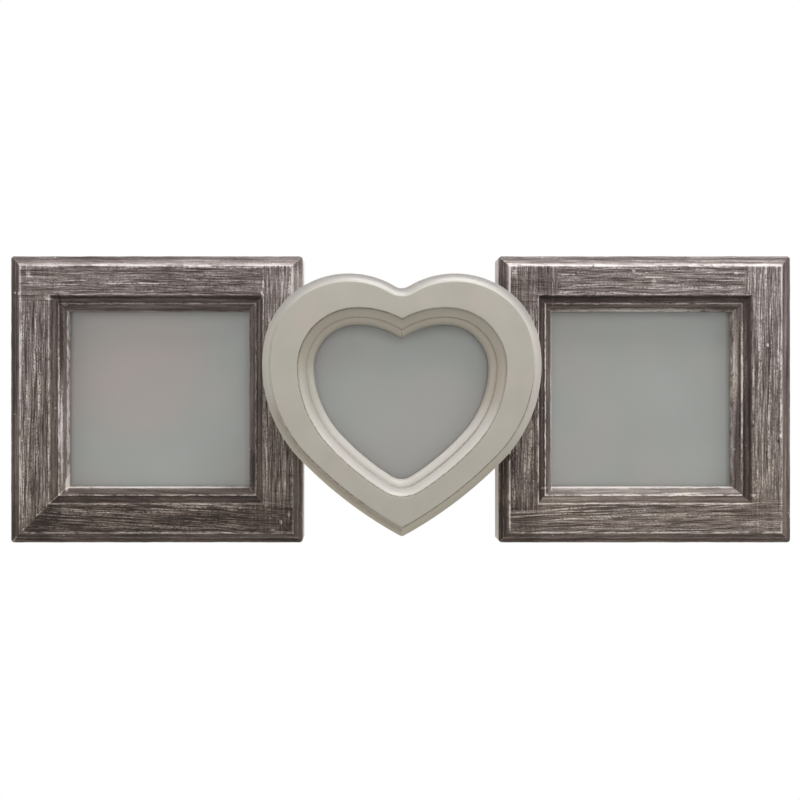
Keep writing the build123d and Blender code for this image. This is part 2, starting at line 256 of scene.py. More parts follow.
def eased(points):
    """Cuts each true corner of a closed outline twice, so that it turns over a short curve."""
    points = [np.array(point, float) for point in points]
    result = []
    for index, here in enumerate(points):
        before = points[index - 1]
        after = points[(index + 1) % len(points)]
        run_in, run_out = here - before, after - here
        turn = math.atan2(run_in[0] * run_out[1] - run_in[1] * run_out[0], run_in @ run_out)
        if abs(turn) < TRUE_CORNER:
            result.append(here)
            continue
        first = here - run_in * min(EASE / np.linalg.norm(run_in), 1 / 3)
        last = here + run_out * min(EASE / np.linalg.norm(run_out), 1 / 3)
        result += [first, (first + 2 * here + last) / 4, last]
    return result


def divided(points, spacing):
    """Adds points on a closed outline's long runs. spacing(middle) is the longest run there."""
    result = []
    for index, here in enumerate(points):
        result.append(here)
        after = points[(index + 1) % len(points)]
        count = math.ceil(np.linalg.norm(after - here) / spacing((here + after) / 2))
        result += [here + (after - here) * step / count for step in range(1, count)]
    return result


def moulded(width, thickness, rim, outer_cove, inner_cove, ovolo):
    """A section's points: back, rim, cove, flat, cove, step, quarter round and rebate."""
    step_at, rim_level = width - ovolo, thickness - outer_cove[1]
    cove_level = thickness - inner_cove[1]
    points = [(0, BACK_INSET), (0, rim_level)]
    points += cove((rim, rim_level), *outer_cove, rise=1)
    points += cove((step_at, cove_level), *inner_cove, rise=-1)[::-1]
    points += quarter((step_at, cove_level - STEP - ovolo), ovolo)
    points += [(width, REBATE_DEPTH), (width - REBATE_LIP, REBATE_DEPTH)]
    return points + [(width - REBATE_LIP, BACK_INSET)]


def rail_spacing(middle):
    """The front and the outer edge carry brush marks and need close points."""
    hidden = middle[1] < 0.5 or (middle[0] > STEP_AT and middle[1] < REBATE_DEPTH + 0.1)
    return PLAIN_SPACING if hidden else MARKED_SPACING


section = moulded(MOULDING_WIDTH, MOULDING_THICKNESS, RIM, COVE, INNER_COVE, OVOLO_RADIUS)
section = divided(eased(section), rail_spacing)

drawn = bpy.data.curves.new("moulding_section", "CURVE")
drawn.dimensions = "3D"
spline = drawn.splines.new("POLY")
spline.points.add(len(section) - 1)
for point, (across, height) in zip(spline.points, section):
    point.co = (across, height, 0, 1)
spline.use_cyclic_u = True
section_object = in_scene("moulding_section", drawn)
print("the moulding's section has", len(section), "points")

# %% [markdown]
# ## One brush, used twice
# The finish is a brown-black stain with chalky paint dragged over it by a dry brush. Each bristle
# leaves a low ridge, about half a millimetre wide and one to three centimetres long. Noise squeezed
# along one direction gives such bristle marks. The function below makes them in any tree: the
# geometry tree raises them on the mesh, and the shader tree colours their tops light and their
# valleys dark.


# %% Bristle marks
def noise(vector, scale, detail=2.0, roughness=0.5):
    """Noise about 0, from roughly -1 to 1."""
    inputs = {"Vector": vector, "Scale": scale, "Detail": detail, "Roughness": roughness}
    return (vector.node("ShaderNodeTexNoise", {}, inputs) - 0.5) * 3


def joined(x, y, z):
    """A vector from three numbers, of which one at least is a wire."""
    wire = next(value for value in (x, y, z) if isinstance(value, Wire))
    return wire.node("ShaderNodeCombineXYZ", {}, [x, y, z])


def parts(vector):
    """The three numbers of a vector."""
    x = vector.node("ShaderNodeSeparateXYZ", {}, [vector])
    return x, x.other("Y"), x.other("Z")


# For each kind of mark: how many times longer than wide it is, and how many fill a millimetre. The
# strokes drift sideways slowly.
DRIFT_LENGTH, DRIFT_WIDTH = 30, 12
HAIR_STRETCH, HAIRS_PER_MM = 24, 2.6
THICK_STRETCH, THICK_PER_MM = 36, 1.4
SKIP_STRETCH, SKIPS_PER_MM = 1.5, 1.3
TRAIL_STRETCH, TRAILS_PER_MM = 60, 0.6
STREAK_LENGTH, STREAKS_PER_MM = 60, 0.45


def bristle_marks(along, across, height, seed, tilt):
    """Brush marks along one direction, from about -1 to 1.5, and the slow streaks under them."""
    drift = noise(joined(along / DRIFT_LENGTH, across / DRIFT_WIDTH, seed), 1.0, 1.0)
    placed = across + drift * 0.5 + along * tilt
    hair = noise(joined(along / HAIR_STRETCH + seed, placed, height), HAIRS_PER_MM, 1.0)
    thick = noise(joined(along / THICK_STRETCH, placed, height + seed), THICK_PER_MM, 1.0)
    skip = noise(joined(along / SKIP_STRETCH, placed, height + seed), SKIPS_PER_MM, 1.0)
    trail = noise(joined(along / TRAIL_STRETCH - seed, placed, height), TRAILS_PER_MM, 1.0)
    slow = joined(along / STREAK_LENGTH, placed * STREAKS_PER_MM, height * STREAKS_PER_MM + seed)
    streak = noise(slow, 1.0, 3.0)
    trail = trail.line(0.0, 0.15) * (skip + streak * 0.6).fade(-0.5, 0.1)
    chalk = (thick + skip * 0.25).fade(0.05, 0.5)
    gap = (thick - skip * 0.15).fade(-0.1, -0.5)
    marks = hair.fade(-0.3, 0.4) * 0.95 + chalk * 0.55 + trail * 0.9 - gap * 0.7
    return marks + streak * 0.3 + skip * 0.3 - 0.5, streak


hair_width = 1 / HAIRS_PER_MM
print("a fine mark is", round(hair_width, 2), "by", round(hair_width * HAIR_STRETCH, 1), "mm")


# %% [markdown]
# ## Who brushed which corner
# The four rails were brushed one after another, with the frame already joined. So at each corner
# one rail's strokes run on over the mitre and cover it: the eye sees a butt joint where there is a
# mitre. Each corner has its own story, kept here as a line in the plane of the two edge distances:
# strokes stand upright where `a * from_side < b * from_end + c`, as far as a reach from the side
# edge. Coves and quarter rounds follow the mitre.

# %% Corners and tones
MITRE = (1, 1, 0, INNER_RIDGE)


def level_until(distance):
    """Level strokes own the corner, down to this distance from the top or bottom edge."""
    return (0, 1, -distance, INNER_RIDGE)


def upright_until(distance):
    """Upright strokes own the corner, up to this distance from the side edge."""
    return (1, 0, distance, distance)


# Four numbers for the corners go top left, top right, bottom left, bottom right: a corner's rule, how
# much darker it is, the chalk in its joint, and how far the strokes of both rails cross in it. The
# tilt leans the bottom rail's strokes. Rubbing goes top, bottom, left, right, and the warmth of the
# quarter round goes bottom, top. A side's tones are its outer cove, flat, inner cove and quarter
# round, from 0 for bare stain to 1 for chalk. A dab is a place from the middle, two half sizes and a
# strength, below zero where it darkens.
FINISH = {
    "left": {
        "seed": 3.0,
        "corners": (level_until(24), upright_until(21.5), MITRE, level_until(19.5)),
        "smudges": (0.0, -0.04, 0.10, 0.03),
        "joints": (0.10, 0.12, 0.42, 0.20),
        "crossed": (0.4, 0.3, 0.0, 0.8),
        "tilt": 0.06,
        "rubbing": (0.8, 1.15, 0.95, 0.75),
        "sight_warmth": (-0.3, -0.3),
        "top": (0.53, 0.46, 0.24, 0.27),
        "bottom": (0.29, 0.21, 0.14, 0.33),
        "left": (0.22, 0.44, 0.36, 0.42),
        "right": (0.46, 0.44, 0.24, 0.33),
        "dabs": (
            (-68.5, 67.8, 1.3, 1.7, 0.35), (-57.5, 54.0, 1.6, 0.6, 0.4), (-50.6, 51.5, 1.8, 1.0, 0.35),
            (56.8, 56.5, 0.5, 1.6, 0.5), (57.6, 62.0, 0.6, 2.2, 0.35), (-49.2, -46.0, 1.0, 4.2, 0.6),
            (67.1, -66.0, 0.8, 1.2, 0.45), (62.8, -70.0, 1.3, 0.7, 0.4), (71.4, -61.7, 0.7, 1.4, 0.4),
            (-68.2, -10.4, 1.6, 0.25, 0.35), (-68.8, -9.0, 0.25, 1.6, 0.3), (-30.0, 72.2, 5.0, 0.6, 0.3),
            (-76.4, 57.5, 0.6, 0.6, 0.6), (-74.0, 57.0, 0.7, 1.0, 0.5), (-72.4, -4.0, 0.8, 62.0, 0.26),
            (75.2, 61.6, 3.5, 10.0, 0.3), (67.7, 61.6, 5.0, 8.0, 0.14), (-51.8, -20.0, 0.7, 30.0, 0.4),
            (-52.3, 34.0, 1.2, 22.0, -0.3), (72.6, -42.0, 1.0, 30.0, -0.3), (0.0, -47.9, 47.0, 0.5, 0.35),
            (51.5, -38.0, 2.2, 11.0, -0.2), (-55.0, -60.0, 5.0, 6.0, -0.15),
        ),
    },
    "right": {
        "seed": 11.0,
        "corners": (upright_until(32), upright_until(26), level_until(18), level_until(23.5)),
        "smudges": (-0.04, 0.0, 0.10, 0.0),
        "joints": (0.12, -0.05, 0.10, 0.05),
        "crossed": (0.9, 0.2, 0.3, 0.5),
        "tilt": -0.035,
        "rubbing": (1.1, 1.05, 1.8, 0.75),
        "sight_warmth": (-0.4, 0.4),
        "top": (0.52, 0.46, 0.14, 0.30),
        "bottom": (0.35, 0.46, 0.43, 0.62),
        "left": (0.21, 0.38, 0.17, 0.35),
        "right": (0.43, 0.50, 0.20, 0.37),
        "dabs": (
            (48.6, 44.6, 0.8, 2.6, 0.4), (33.1, 71.9, 1.6, 0.5, 0.45), (36.9, 71.9, 0.9, 0.6, 0.45),
            (-6.4, 69.2, 1.3, 0.8, 0.5), (4.3, 63.4, 1.6, 1.4, 0.3), (72.6, -19.3, 1.0, 1.4, 0.5),
            (71.0, -22.5, 0.7, 0.9, -0.4), (-70.5, 67.5, 1.2, 2.0, 0.3), (65.5, 29.0, 0.7, 0.9, 0.6),
            (66.8, 42.0, 0.4, 10.0, 0.35), (48.4, 67.6, 1.2, 0.9, 0.45), (-2.0, 48.5, 46.0, 0.7, 0.5),
            (-2.0, 52.6, 50.0, 0.5, 0.25), (48.4, 0.0, 0.8, 44.0, 0.25), (-54.0, -47.8, 2.6, 0.6, 0.35),
            (-49.4, 0.0, 0.7, 46.0, 0.5), (50.2, 20.0, 0.8, 28.0, 0.35), (53.0, 5.0, 0.5, 42.0, 0.35),
            (51.9, 5.0, 0.5, 42.0, -0.25), (20.0, -50.9, 12.0, 0.5, 0.3), (58.0, -51.5, 1.5, 0.8, 0.35),
        ),
    },
}
print("dabs", {side: len(finish["dabs"]) for side, finish in FINISH.items()})

# %% Which way the strokes run
# How far the strokes' ends scatter and blend, how deep in a corner they cross, and how they lean.
STAGGER = 1.8
SOFT_END = 1.2
CROSSED_DEPTH = (34.0, 22.0)
TOP_TILT = 0.012
UPRIGHT_TILT = -0.01


def by_corner(right, upper, values):
    """One number out of four, for top left, top right, bottom left and bottom right."""
    return mixed(upper, mixed(right, values[2], values[3]), mixed(right, values[0], values[1]))


def dry_brush(x, z, height, side):
    """The strokes at a place in a square, in millimetres from its middle and above its back."""
    square, finish = SQUARES[side], FINISH[side]
    from_side = square["half_width"] - abs(x)
    from_end = square["half_height"] - abs(z)
    right, upper = x > 0.0, z > 0.0
    edge = from_side.least(from_end)
    stagger = noise(joined(x / 1.1, z / 1.1, finish["seed"]), 1.0, 3.0) * STAGGER
    a, b, c, reach = [by_corner(right, upper, values) for values in zip(*finish["corners"])]
    owned = (b * from_end + c + stagger - a * from_side).fade(-SOFT_END, SOFT_END)
    owned = owned * (reach + stagger - from_side).fade(-SOFT_END, SOFT_END)
    mitred = from_side < from_end
    flat = (edge > RIDGE) * (edge < INNER_RIDGE)
    upright = mixed(flat, mitred, owned)
    deep = from_side.most(from_end)
    crossed = by_corner(right, upper, finish["crossed"]) * deep.fade(*CROSSED_DEPTH) * flat
    share = mixed(crossed, upright, 0.5)
    tilt = mixed(upper, finish["tilt"], TOP_TILT)
    seed = finish["seed"]
    level_marks, level_streak = bristle_marks(x, z, height, seed, tilt)
    upright_marks, upright_streak = bristle_marks(z, x, height, seed + 5, UPRIGHT_TILT)
    return {
        "marks": mixed(share, level_marks, upright_marks),
        "streak": mixed(share, level_streak, upright_streak),
        "upright": upright,
        "mitred": mitred,
        "edge": edge,
        "deep": deep,
        "off_mitre": abs(from_side - from_end),
        "flat": flat,
        "right": right,
        "upper": upper,
    }


print("corner rules for", ", ".join(FINISH))

# %% [markdown]
# ## Weathered paint and painted light
# The colour is one number from stain to chalk, read through a colour ramp. The brush marks swing
# it, each band of the moulding sets its level, and rubbed edges push it up in thin, broken, wavy
# lines. A painted highlight lightens the top rail's and the left stiles' outer coves near their
# ridge. Stray drops of white and small dark pits finish it. The outer faces kept more of the white
# ground, painted lighter where they stand upright than where they lie level, as painted light, and
# the back is bare wood.


# %% Helpers for materials
def shader_start(name):
    """A new material's tree with its Principled shader, and a first wire to start from."""
    material = bpy.data.materials.new(name)
    material.use_nodes = True
    tree = material.node_tree
    tree.nodes.clear()
    principled = tree.nodes.new("ShaderNodeBsdfPrincipled")
    way_out = tree.nodes.new("ShaderNodeOutputMaterial")
    tree.links.new(principled.outputs[0], way_out.inputs["Surface"])
    return material, principled, Wire(tree)


def feed(principled, inputs):
    """Sets or links a shader's inputs by name."""
    for name, value in inputs.items():
        socket = principled.inputs[name]
        if isinstance(value, Wire):
            value.tree.links.new(value.socket, socket)
        else:
            socket.default_value = value


def place_mm(start, middle_x=0.0, middle_z=0.0):
    """Right, up and forwards of a place, in millimetres, with the wall at 0."""
    x, y, z = parts(start.node("ShaderNodeTexCoord", {}, {}, "Object"))
    return x / MM - middle_x, z / MM - middle_z, y / -MM


def bump(height):
    """A surface normal from a height in millimetres."""
    raised = {"Height": height, "Distance": MM, "Strength": 1.0}
    return height.node("ShaderNodeBump", {}, raised)


def oval(x, z, at_x, at_z, half_x, half_z):
    """The square of how far out a place lies from an oval's middle, with 1 on its edge."""
    off_x, off_z = (x - at_x) / half_x, (z - at_z) / half_z
    return off_x * off_x + off_z * off_z


FILLED_CELLS = 0.22


def drops(vector, spacing, size, seed):
    """Sparse round spots about size wide, in a share of the cells of the spacing."""
    scaled = {"Vector": vector, "Scale": 1 / spacing}
    spot = vector.node("ShaderNodeVectorMath", {"operation": "SCALE"}, scaled)
    cell = {"Vector": spot, "Scale": 1.0, "Randomness": 1.0}
    near = vector.node("ShaderNodeTexVoronoi", {"feature": "F1"}, cell, "Distance")
    filled = (parts(near.other("Color"))[0] + seed).math("FRACT") < FILLED_CELLS
    return near.fade(size / spacing, size / spacing * 0.45) * filled


# %% Stain, chalk and the lines of wear
PAINT_STOPS = [
    (0.0, colour(42, 33, 30)),
    (0.25, colour(80, 69, 64)),
    (0.5, colour(119, 109, 104)),
    (0.75, colour(160, 151, 146)),
    (1.0, colour(220, 215, 211)),
]
COOL_TINT = (1.0, 0.98, 1.0, 1.0)
WARM_TINT = (1.0, 0.955, 0.87, 1.0)
# Places across the moulding, half widths and strengths.
RUBBED_LINES = (
    (RIM, 0.35, 0.14),
    (RIDGE - 2.7, 0.3, 0.22),
    (RIDGE + 0.2, 1.1, 0.44),
    (INNER_RIDGE, 0.6, 0.42),
    (STEP_AT - 0.1, 0.6, 0.58),
    (MOULDING_WIDTH - 0.2, 0.55, 0.5),
)
DIRTY_LINES = (
    (RIM + 1.0, 0.7, 0.10),
    (RIDGE - 1.0, 0.7, 0.08),
    (INNER_RIDGE + 1.1, 0.9, 0.16),
    (STEP_AT - 0.8, 0.6, 0.14),
)
print("lines of wear:", len(RUBBED_LINES), "rubbed,", len(DIRTY_LINES), "dirty")


# %% Tones and wear
def band_tone(brushed, finish):
    """How chalky each band of the moulding is, on each of the four rails."""
    edge, upright = brushed["edge"], brushed["upright"]
    tones = []
    for band in range(4):
        level_tone = mixed(brushed["upper"], finish["bottom"][band], finish["top"][band])
        upright_tone = mixed(brushed["right"], finish["left"][band], finish["right"][band])
        tones.append(mixed(upright, level_tone, upright_tone))
    tone = mixed(edge > RIDGE, tones[0], tones[1])
    tone = mixed(edge > INNER_RIDGE, tone, tones[2])
    return mixed(edge > STEP_AT, tone, tones[3])


def with_wear_and_highlight(tone, brushed, finish, wander, rubbed):
    """Lightens the joints and the rubbed ridges, darkens the hollows beside them, and paints a highlight
    near the ridge of the top rail's and the left stiles' outer coves.
    """
    edge, right, upper = brushed["edge"], brushed["right"], brushed["upper"]
    joint = (brushed["off_mitre"] + wander * 0.9).line(0.0, 0.8) * rubbed
    chalked = by_corner(right, upper, finish["joints"]) * (brushed["deep"] < MOULDING_WIDTH)
    tone = tone + joint * chalked
    on_top, on_bottom, on_left, on_right = finish["rubbing"]
    level_rub, upright_rub = mixed(upper, on_bottom, on_top), mixed(right, on_left, on_right)
    rub = rubbed * mixed(brushed["mitred"], level_rub, upright_rub)
    for place, half_width, strength in RUBBED_LINES:
        tone = tone + (edge + wander * 0.3).line(place, half_width) * rub * strength
    for place, half_width, strength in DIRTY_LINES:
        tone = tone - (edge + wander * 0.3).line(place, half_width) * strength
    # A painted highlight: a light line near the ridge of the top rail's and the left stiles' outer coves,
    # where they face the light. It is stronger where the edge is rubbed.
    ridge_highlight = (edge + wander * 0.4).line(RIDGE - 0.9, 1.1)
    ridge_highlight = ridge_highlight * mixed(brushed["upright"], upper * 0.7, (1 - right) * 0.6)
    return tone + ridge_highlight * (0.2 + rubbed * 0.25)


def dabbed(tone, x, z, dabs, ragged):
    """Adds the chips and dabs of paint that have a place of their own, with ragged edges."""
    for *spot, strength in dabs:
        distance = oval(x, z, *spot).math("SQRT") + ragged
        tone = tone + distance.fade(1.25, 0.6) * strength
    return tone


# %% The weathered paint of one square
# How chalky the level and the upright outer faces are: their white ground coat, with the upright faces
# painted lighter than the level ones, as painted light.
OUTER_FACE_TONES_AND_LIGHT = (0.66, 1.1)
GRAIN_LENGTH = 14
GRAIN_WIDTH = 1.2


def bare_wood(x, z, height, brushed):
    """Unpainted wood, with its grain along each rail and a dark line in each mitre."""
    level_grain = noise(joined(x / GRAIN_LENGTH, z / GRAIN_WIDTH, height), 1.0, 2.0)
    upright_grain = noise(joined(x / GRAIN_WIDTH, z / GRAIN_LENGTH, height), 1.0, 2.0)
    grain = mixed(brushed["mitred"], level_grain, upright_grain)
    wood = mixed_colour(grain * 0.5 + 0.5, colour(138, 110, 78), colour(172, 144, 106))
    return mixed_colour(brushed["off_mitre"].line(0.0, 0.3) * 0.7, wood, colour(70, 52, 36))


def weathered_paint_and_light(side):
    """A square's stain and chalk, with its wear, painted light on its outer faces and a painted highlight
    near some coves' ridge, and bare wood at its back and in its rebate.
    """
    square, finish = SQUARES[side], FINISH[side]
    material, principled, start = shader_start(f"{side}_weathered_paint")
    x, z, height = place_mm(start, square["middle_x"], square["middle_z"])
    brushed = dry_brush(x, z, height, side)
    edge, right, upper, marks = [brushed[name] for name in ("edge", "right", "upper", "marks")]

    spot = joined(x, z, height)
    cloud = noise(joined(x / 17, z / 17, finish["seed"]), 1.0, 2.0)
    grit = noise(spot, 1.1, 2.0)
    speckle = noise(spot, 2.6, 2.0)
    wander = noise(joined(x / 4, z / 4, height / 4), 1.0, 3.0)
    rubbed = noise(joined(x / 5 + 9, z / 5, height / 5), 1.0, 3.0).fade(-0.75, 0.15)
    white = drops(spot, 5.5, 0.6, 0.1)
    pits = drops(spot, 4.0, 0.5, 0.5)

    strokes = mixed(brushed["flat"], marks * 0.10 + brushed["streak"] * 0.2, marks * 0.34)
    tone = band_tone(brushed, finish) + strokes + cloud * 0.07 + grit * 0.06 + speckle * 0.08
    in_corner = brushed["deep"].fade(24.0, 17.0)
    tone = tone - by_corner(right, upper, finish["smudges"]) * in_corner
    tone = with_wear_and_highlight(tone, brushed, finish, wander, rubbed) + white * 0.45 - pits * 0.3
    tone = dabbed(tone, x, z, finish["dabs"], grit * 0.5 + wander * 0.3)
    below_rim = (height + wander * 0.8).fade(RIM_LEVEL - 0.3, RIM_LEVEL - 1.0)
    # Painted light: the outer faces' white ground is painted lighter where they stand upright and darker
    # where they lie level.
    outer_tone_and_light = mixed(brushed["mitred"], *OUTER_FACE_TONES_AND_LIGHT) + marks * 0.08
    tone = mixed(edge.fade(0.6, 0.4) * below_rim, tone, outer_tone_and_light)

    paint = tone.node("ShaderNodeValToRGB", {"stops": PAINT_STOPS}, [tone], "Color")
    warm = z.fade(70.0, -75.0) * 0.7 + cloud * 0.4 - (edge < RIDGE) * upper * 0.3
    warm = warm + (edge > STEP_AT) * mixed(upper, *finish["sight_warmth"])
    tint = mixed_colour(warm.fade(0.0, 1.0), COOL_TINT, WARM_TINT)
    tinting = {"data_type": "RGBA", "blend_type": "MULTIPLY"}
    paint = tone.node("ShaderNodeMix", tinting, [1.0, paint, tint])
    in_rebate = (edge > STEP_AT) * height.fade(REBATE_DEPTH + 0.3, REBATE_DEPTH)
    bare = height.fade(0.5, 0.2).most(in_rebate)
    feed(principled, {
        "Base Color": mixed_colour(bare, paint, bare_wood(x, z, height, brushed)),
        "Roughness": 0.62 - tone * 0.12,
        "Specular IOR Level": 0.3,
        "Normal": bump(marks * 0.05 + white * 0.12 - pits * 0.1),
    })
    return material


PAINTS = {side: weathered_paint_and_light(side) for side in SQUARES}
print("paints", [paint.name for paint in PAINTS.values()])

# %% [markdown]
# ## Rails from a geometry tree
# A rail could be extruded and cut by hand eight times. A tree does it once: it sweeps the section
# along a line, presses the bristle marks in, slants the ends for the mitres, rounds the outer
# corners and turns the rail to its side of the square. Only the inputs change from rail to rail.
# Holes for the countersunk screws are cut in the same tree.


# %% Helpers for geometry trees
def new_recipe(name, inputs):
    """A geometry tree with named inputs, and those inputs as wires."""
    tree = bpy.data.node_groups.new(name, "GeometryNodeTree")
    tree.interface.new_socket("Geometry", in_out="OUTPUT", socket_type="NodeSocketGeometry")
    for label, kind in inputs.items():
        tree.interface.new_socket(label, in_out="INPUT", socket_type="NodeSocket" + kind)
    entry = tree.nodes.new("NodeGroupInput")
    return tree, {label: Wire(tree, entry.outputs[label]) for label in inputs}


def finished(geometry, paint):
    """Ends a recipe: instances made real, material set, result out."""
    real = geometry.node("GeometryNodeRealizeInstances", {}, [geometry])
    dressed = real.node("GeometryNodeSetMaterial", {}, {"Geometry": real, "Material": paint})
    way_out = dressed.tree.nodes.new("NodeGroupOutput")
    dressed.tree.links.new(dressed.socket, way_out.inputs[0])


def cast(recipe, name, values):
    """Runs a recipe with its inputs set, and keeps the result as an object with a plain mesh."""
    made = in_scene(name, bpy.data.meshes.new(name))
    modifier = made.modifiers.new("recipe", "NODES")
    modifier.node_group = recipe
    for item in recipe.interface.items_tree:
        if item.in_out == "INPUT":
            modifier[item.identifier] = values[item.name]
    view = bpy.context.evaluated_depsgraph_get()
    mesh = bpy.data.meshes.new_from_object(made.evaluated_get(view))
    made.modifiers.remove(modifier)
    made.data = mesh
    mesh.name = name
    return made


def count_triangles(piece):
    return sum(len(face.vertices) - 2 for face in piece.data.polygons)


# %% The rail recipe
RAIL_INPUTS = {
    "Section": "Object",
    "Length": "Float",
    "Reach": "Float",
    "Turn": "Float",
    "Middle": "Vector",
    "Mark Depth": "Float",
    "Has Seats": "Bool",
    "Paint": "Material",
}
ALONG_SPACING = 0.7
DEEPEST_MARK = 0.3
SEAT_RADIUS = 3.3
SEAT_WAIST = 0.55
SEAT_DEPTH = 1.9
SCREW_HEAD_RADIUS = 3.5
screws_low, screws_high = box_mm("heart_fixing_screws")
FIRST_SEAT = (screws_high[0] - SCREW_HEAD_RADIUS, screws_high[2] - SCREW_HEAD_RADIUS)
SEAT_DROP = screws_low[2] + SCREW_HEAD_RADIUS - FIRST_SEAT[1]
print("screw seats from", [round(value, 2) for value in FIRST_SEAT], "step", round(SEAT_DROP, 2))


def stored(geometry, name, value, kind):
    """Keeps a value on every point, to be read again after the sweep."""
    settings = {"data_type": kind, "domain": "POINT"}
    inputs = {"Geometry": geometry, "Name": name, "Value": value}
    return geometry.node("GeometryNodeStoreNamedAttribute", settings, inputs)


def kept(wire, name, kind):
    return wire.node("GeometryNodeInputNamedAttribute", {"data_type": kind}, {"Name": name})


def screw_seats(start, side):
    """The two cones that the screws' heads take out of a square's inner stile."""
    cone = {
        "Vertices": 32,
        "Radius Top": SEAT_RADIUS * MM * SEAT_WAIST,
        "Radius Bottom": SEAT_RADIUS * MM,
        "Depth": SEAT_DEPTH * MM,
    }
    seat = start.node("GeometryNodeMeshCone", {}, cone)
    seat_x = FIRST_SEAT[0] * (1 if side == "right" else -1)
    row = {
        "Count": 2,
        "Start Location": (seat_x * MM, 0.0, FIRST_SEAT[1] * MM),
        "Offset": (0.0, 0.0, SEAT_DROP * MM),
    }
    two = start.node("GeometryNodeMeshLine", {"mode": "OFFSET"}, row)
    aim = {"Points": two, "Instance": seat, "Rotation": (math.pi / 2, 0.0, 0.0)}
    placed = start.node("GeometryNodeInstanceOnPoints", {}, aim)
    return start.node("GeometryNodeRealizeInstances", {}, [placed])


# %% A rail's tree
def rail_recipe(side):
    """A geometry tree that makes any of a square's four rails."""
    tree, inputs = new_recipe(f"{side}_rail", RAIL_INPUTS)
    start = Wire(tree)
    length, reach = inputs["Length"], inputs["Reach"]

    half = length * 0.5
    ends = {"Start": joined(half * -1, 0.0, 0.0), "End": joined(half, 0.0, 0.0)}
    line = start.node("GeometryNodeCurvePrimitiveLine", {}, ends)
    sampled = {"Curve": line, "Length": ALONG_SPACING}
    line = start.node("GeometryNodeResampleCurve", {"mode": "LENGTH"}, sampled)
    place = start.node("GeometryNodeInputPosition")
    tangent = start.node("GeometryNodeInputTangent")
    line = stored(line, "along", parts(place)[0], "FLOAT")

    source = {"Object": inputs["Section"]}
    profile = start.node("GeometryNodeObjectInfo", {}, source, "Geometry")
    profile = stored(profile, "section", place, "FLOAT_VECTOR")
    profile = stored(profile, "tangent", tangent, "FLOAT_VECTOR")
    sweep = {"Curve": line, "Profile Curve": profile, "Fill Caps": True}
    swept = start.node("GeometryNodeCurveToMesh", {}, sweep)

    along = kept(start, "along", "FLOAT")
    across, height, _ = parts(kept(start, "section", "FLOAT_VECTOR"))
    run, rise, _ = parts(kept(start, "tangent", "FLOAT_VECTOR"))

    def plan(across):
        """The place in the square, in millimetres: mitred, rounded at the corner and turned."""
        slanted = along * (1 - across * 2 / length)
        near_edge = (CORNER_RADIUS - across).most(0.0)
        near_end = (CORNER_RADIUS - (half - abs(slanted))).most(0.0)
        far = (near_edge * near_edge + near_end * near_end).math("SQRT").most(0.001)
        pull = 1 - near_edge.most(near_end) / far
        flat = near_edge.least(near_end) > 0.0
        slanted = slanted - slanted.math("SIGN") * near_end * pull * flat
        outward = reach - across - near_edge * pull * flat
        spot = {"Vector": joined(slanted, 0.0, outward), "Angle": inputs["Turn"]}
        return start.node("ShaderNodeVectorRotate", {"rotation_type": "Y_AXIS"}, spot)

    x, _, z = parts(plan(across))
    marks = dry_brush(x, z, height, side)["marks"]
    wear = noise(joined(x / 9, z / 9, height / 9), 1.0, 2.0)
    shown = (height - across * 0.18).fade(0.3, 0.7)
    pressed = (0.5 - marks * 0.5).most(0.0) * inputs["Mark Depth"]
    depth = (pressed + (0.06 - wear * 0.12).most(0.0)).least(DEEPEST_MARK) * shown
    worn = across + rise * depth
    sunk = height - run * depth
    x, _, z = parts(plan(worn))
    metres = joined(x * MM, sunk * -MM, z * MM)
    metres = start.node("ShaderNodeVectorMath", {"operation": "ADD"}, [metres, inputs["Middle"]])
    placed = start.node("GeometryNodeSetPosition", {}, {"Geometry": swept, "Position": metres})

    cut = {"operation": "DIFFERENCE", "solver": "EXACT"}
    both = {"Mesh 1": placed, "Mesh 2": screw_seats(start, side)}
    bored = start.node("GeometryNodeMeshBoolean", cut, both)
    chosen = {"Switch": inputs["Has Seats"], "False": placed, "True": bored}
    rail = start.node("GeometryNodeSwitch", {"input_type": "GEOMETRY"}, chosen)
    rail = start.node("GeometryNodeSetShadeSmooth", {}, [rail])
    finished(rail, inputs["Paint"])
    return tree


# %% Cast the eight rails
MARK_DEPTH = 0.08
TURNS = {"top_rail": 0, "bottom_rail": 180, "left": -90, "right": 90}
rails = []
for side, square in SQUARES.items():
    recipe = rail_recipe(side)
    for part in RAILS:
        node = f"{side}_{part}"
        low, high = box_mm(node)
        stands = part.endswith("stile")
        on_right = (low[0] + high[0]) / 2 > square["middle_x"]
        place = ("right" if on_right else "left") if stands else part
        values = {
            "Section": section_object,
            "Length": 2 * (square["half_height"] if stands else square["half_width"]),
            "Reach": square["half_width"] if stands else square["half_height"],
            "Turn": math.radians(TURNS[place]),
            "Middle": (square["middle_x"] * MM, 0.0, square["middle_z"] * MM),
            "Mark Depth": MARK_DEPTH,
            "Has Seats": part == "inner_stile",
            "Paint": PAINTS[side],
        }
        rail = cast(recipe, f"{node}_painted", values)
        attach(rail, "frame")
        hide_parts(node)
        rails.append(rail)
section_object.hide_render = True
section_object.hide_viewport = True
print("rails", len(rails), "triangles", [count_triangles(rail) for rail in rails])

# %% [markdown]
# ## The heart
# The heart is routed from one board, so it has no joints. A cutter that runs round a template makes
# every edge an offset of the template's outline. The mesh does the same: each row of points is an
# offset loop of either the outline or the window, and the level face is drawn between the two. A
# loop is a chain of arcs. Going inwards by d, an arc's radius shrinks by d, and its ends stay at
# the same angles, so the offset is exact. That is easier to say in arithmetic than in a node tree.

